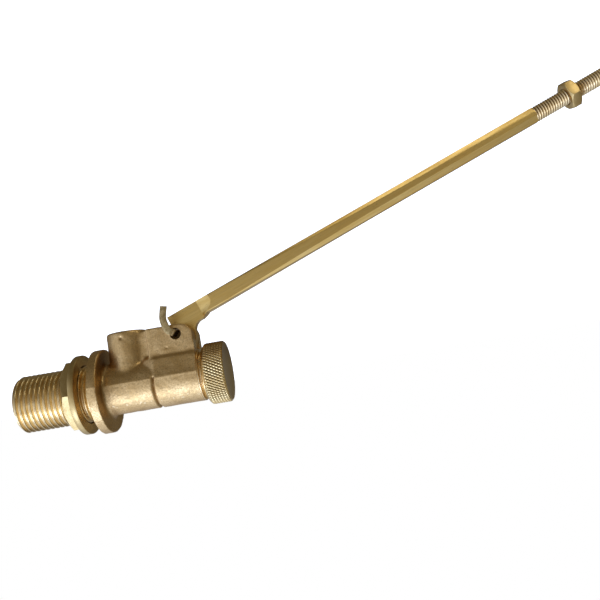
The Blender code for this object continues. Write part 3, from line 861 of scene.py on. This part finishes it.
def make_pin():
    """The split pin: an eye behind the far ear, and one leg bent over in front."""
    across = Vector((0, 1, 0)).cross(PIN_SPLIT)

    def legs(y, offset):
        return PIVOT + Vector((0, y, 0)) + PIN_SPLIT * offset

    eye = [(y, -u) for y, u in HALF_EYE] + [(EYE_END, 0.0)] + list(reversed(HALF_EYE))
    points = [legs(3.4, -PIN_OFFSET), legs(0, -PIN_OFFSET)]
    points += [legs(y, u) for y, u in eye]
    points += [legs(0, PIN_OFFSET), legs(6.2, PIN_OFFSET)]
    path = smooth_path(points + [PIVOT + Vector(point) for point in BENT_LEG], 8)
    rings = []
    for i, point in enumerate(path):
        along = (path[min(i + 1, len(path) - 1)] - path[max(i - 1, 0)]).normalized()
        side = (across - along * across.dot(along)).normalized()
        rings.append([point + side * x + along.cross(side) * y for x, y in half_round()])
    pin = new_object("split_pin", lofted(rings), [WIRE])
    return settle(pin, "valve", ["pivot_split_pin"], sharp=45)


def finish_cad_nodes():
    """The hidden pieces keep their CAD shapes and get real materials."""
    kept = {"piston": TURNED, "piston_cap": TURNED, "piston_washer": RUBBER,
            "inlet_seat": NYLON, "seat_washer": RUBBER}
    for name, material in kept.items():
        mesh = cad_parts[name].data
        mesh.materials.clear()
        mesh.materials.append(material)


# ---------------------------------------------------------------- studio

# The camera's lens, its right, up and back, and its place in millimetres
LENS = 42.23
CAMERA_AXES = ((0.98395, -0.06834, 0.16482), (0.17149, 0.10722, -0.97933),
               (0.04925, 0.99188, 0.11722))
CAMERA_PLACE = Vector((91.30, 258.51, 9.32))
FLOOR_DROP = 0.03                           # metres under the arm's tip
COOL, SKY, WARM = (0.90, 1.15, 1.85), (0.95, 1.11, 1.53), (1.0, 0.90, 0.66)
ROOM_LIGHT = 0.13
# Where light comes from: direction, the angles it is full and gone at, strength and colour
ROOM = [
    ((-0.36, 0.42, 0.83), 20, 73, 0.76, SKY),       # glow round the window
    ((-0.88, 0.47, -0.05), 12, 48, 0.38, SKY),      # wall to the left
    ((0.00, 1.00, -0.05), 15, 50, 0.13, WARM),      # room in front
    ((-0.45, -0.75, 0.48), 15, 52, 0.28, SKY),      # wall behind, high
    ((0.72, 0.10, 0.69), 20, 50, 0.08, WARM),       # wall to the right, high
]
# Cards low behind the arm and low in front of its tip: centre, half sides, brightness
CARDS = [((0.076, -0.045, -0.27), (0.12, 0.04), 1.35), ((0.27, 0.23, -0.27), (0.12, 0.12), 2.2)]


def add_camera():
    """A camera on the +Y side, rolled so that +Z points down in its picture."""
    camera = bpy.data.objects.new("camera", bpy.data.cameras.new("camera"))
    camera.data.lens = LENS
    turn = Matrix(CAMERA_AXES).transposed().to_4x4()
    camera.matrix_world = Matrix.Translation(CAMERA_PLACE * MM) @ turn
    camera.data.clip_start = 0.01
    bpy.context.scene.collection.objects.link(camera)
    bpy.context.scene.camera = camera


def add_softbox(name, place, size, power, colour):
    """A large area light that faces the valve."""
    light = bpy.data.lights.new(name, "AREA")
    light.shape = "RECTANGLE"
    light.size, light.size_y = size
    light.energy = power
    light.color = colour
    obj = bpy.data.objects.new(name, light)
    obj.location = place
    aim = Vector((0.03, 0, 0)) - Vector(place)
    obj.rotation_mode = "QUATERNION"
    obj.rotation_quaternion = aim.to_track_quat("-Z", "Y")
    bpy.context.scene.collection.objects.link(obj)


def add_room():
    """A white backdrop to look at, and soft panels of light for the brass to mirror."""
    world = bpy.data.worlds.new("room")
    world.use_nodes = True
    tree = world.node_tree
    tree.nodes.clear()
    towards = node(tree, "ShaderNodeTexCoord").outputs["Generated"]
    total = tuple(ROOM_LIGHT * part for part in WARM)
    for axis, inner, outer, strength, colour in ROOM:
        facing = node(tree, "ShaderNodeVectorMath", {0: towards, 1: Vector(axis).normalized()},
                      operation="DOT_PRODUCT").outputs["Value"]
        panel = spread(tree, facing, math.cos(math.radians(outer)), math.cos(math.radians(inner)),
                       0.0, strength)
        tinted = node(tree, "ShaderNodeVectorMath", {0: colour, "Scale": panel}, operation="SCALE")
        total = node(tree, "ShaderNodeVectorMath", {0: tinted.outputs[0], 1: total},
                     operation="ADD").outputs[0]
    lit = node(tree, "ShaderNodeBackground", {"Color": total, "Strength": 1.0})
    seen = node(tree, "ShaderNodeBackground", {"Color": (1, 1, 1, 1), "Strength": 1.0})
    camera_ray = node(tree, "ShaderNodeLightPath").outputs["Is Camera Ray"]
    both = node(tree, "ShaderNodeMixShader", {
        0: camera_ray, 1: lit.outputs[0], 2: seen.outputs[0]})
    out = node(tree, "ShaderNodeOutputWorld")
    tree.links.new(both.outputs[0], out.inputs["Surface"])
    bpy.context.scene.world = world
    bpy.context.scene.view_settings.view_transform = "Standard"


def add_floor():
    """A plain pale floor under the arm's tip. The brass doesn't mirror it."""
    shape = bmesh.new()
    bmesh.ops.create_grid(shape, x_segments=2, y_segments=2, size=6000)
    floor = new_object("floor", shape, [])
    material, tree, shader, place = new_material("floor", 0.0)
    mottle = spread(tree, noise_of(tree, place, 60.0), 0.3, 0.7, 0.0, 1.0)
    colour = mixed(tree, mottle, (0.86, 0.86, 0.85, 1), (0.88, 0.88, 0.87, 1))
    tree.links.new(colour, shader.inputs["Base Color"])
    shader.inputs["Roughness"].default_value = 0.9
    shader.inputs["Emission Color"].default_value = (1, 1, 1, 1)
    shader.inputs["Emission Strength"].default_value = 0.97
    floor.data.materials.append(material)
    floor.data.transform(Matrix.Scale(MM, 4))
    floor.location.z = cad_box[0].z - FLOOR_DROP
    floor.visible_glossy = False
    floor.visible_diffuse = False


def add_card(centre, half, brightness):
    """A lit card that only reflections see, dark along its edge nearest the inlet."""
    shape = bmesh.new()
    bmesh.ops.create_grid(shape, x_segments=1, y_segments=1, size=1)
    card = new_object("card", shape, [])
    card.data.transform(Matrix.Diagonal((*half, 1, 1)))
    card.location = centre
    material = bpy.data.materials.new("card")
    material.use_nodes = True
    tree = material.node_tree
    tree.nodes.clear()
    along = axes_of(tree, node(tree, "ShaderNodeTexCoord").outputs["Generated"])["X"]
    strength = spread(tree, along, 0.0, 0.45, 0.0, brightness)
    glow = node(tree, "ShaderNodeEmission", {"Color": (1.0, 0.95, 0.80, 1), "Strength": strength})
    node(tree, "ShaderNodeOutputMaterial", {"Surface": glow.outputs[0]})
    card.data.materials.append(material)
    card.visible_camera = False
    card.visible_shadow = False


def main():
    """The studio, then every piece of the valve."""
    add_camera()
    add_room()
    add_floor()
    add_softbox("window", (-0.40, 0.54, 0.90), (0.6, 0.6), 2.6, COOL)
    for card in CARDS:
        add_card(*card)
    make_casting()
    make_inlet_shank()
    make_cap_neck()
    make_backnut()
    make_locknut()
    make_cap()
    make_arm()
    make_pin()
    finish_cad_nodes()


main()
